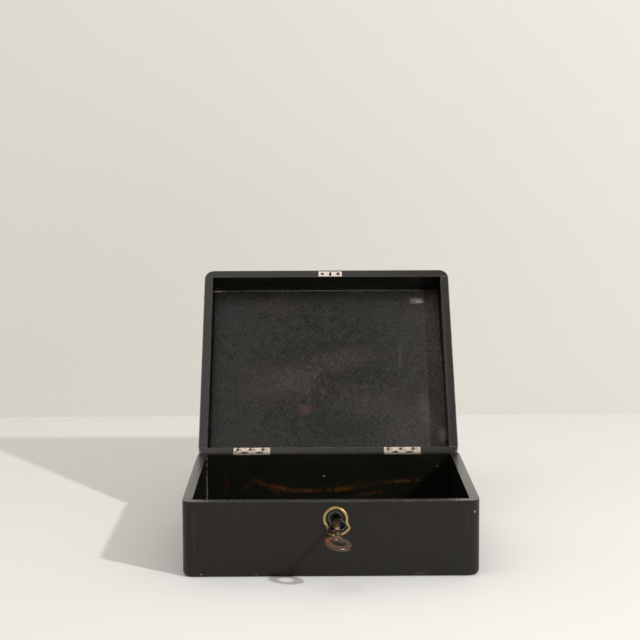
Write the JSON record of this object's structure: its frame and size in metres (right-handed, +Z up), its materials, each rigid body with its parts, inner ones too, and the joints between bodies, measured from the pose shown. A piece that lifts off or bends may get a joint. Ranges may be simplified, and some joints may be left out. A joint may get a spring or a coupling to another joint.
{
  "type": "deed box",
  "caption": "Black lacquered wooden box for papers with a hinged tray lid laid back open, brass keyhole border and a key in the lock.",
  "frame": {"origin": "middle of the underside of the base, on the surface the box stands on", "axes": "+Z up, the front with the keyhole faces -Y, the lid's hinge axis runs along X"},
  "size_m": [0.27, 0.4637, 0.247],
  "materials": {
    "lacquer": "black lacquer on wood, glossy, worn at the edges",
    "lining": "black lacquered board with a fine leathery grain, satin",
    "nickel": "nickel plated steel, worn satin",
    "plate": "plated steel, bright satin",
    "border_brass": "aged yellow brass, rubbed bright on top",
    "old_steel": "darkened old steel",
    "key_metal": "brown patina, smooth from handling"
  },
  "bodies": {
    "base": {"base_front": "lacquer", "base_back": "lacquer", "base_left": "lacquer", "base_right": "lacquer", "base_floor": "lacquer", "hinge_left_base_leaf": "nickel", "hinge_left_pin": "nickel", "hinge_left_base_screws": "nickel", "hinge_right_base_leaf": "nickel", "hinge_right_pin": "nickel", "hinge_right_base_screws": "nickel", "keyhole_border": "border_brass", "lock_case": "old_steel", "lock_back_plate": "old_steel", "lock_selvage": "old_steel", "lock_screws": "old_steel"},
    "lid": {"lid_front": "lacquer", "lid_back": "lacquer", "lid_left": "lacquer", "lid_right": "lacquer", "lid_top": "lacquer", "lid_lining": "lining", "hinge_left_lid_leaf": "nickel", "hinge_left_lid_screws": "nickel", "hinge_right_lid_leaf": "nickel", "hinge_right_lid_screws": "nickel", "strike_plate": "plate", "strike_screws": "old_steel"},
    "bolt": {"lock_bolt": "old_steel"},
    "pin": {"lock_pin": "old_steel"},
    "key": {"key": "key_metal"}
  },
  "joints": [
    {"name": "lid_hinge", "type": "hinge", "parent": "base", "child": "lid", "pos_m": [0, 0.114, 0.0702], "axis": [1, 0, 0], "range_deg": [0, 130]},
    {"name": "key_play", "type": "hinge", "parent": "base", "child": "pin", "pos_m": [0.004, -0.1074, 0.0537], "axis": [-0.9763, 0, -0.2164], "range_deg": [0, 11.4]},
    {"name": "key_turn", "type": "hinge", "parent": "pin", "child": "key", "pos_m": [0.004, -0.1074, 0.0537], "axis": [0.0428, -0.9803, -0.193], "range_deg": [0, 55]},
    {"name": "bolt_slide", "type": "slide", "parent": "base", "child": "bolt", "axis": [0, 0, 1], "range_m": [0, 0.0065]}
  ],
  "couplings": [
    {"joint": "bolt_slide", "follows": "key_turn", "m_per_rad": 0.0067713}
  ]
}
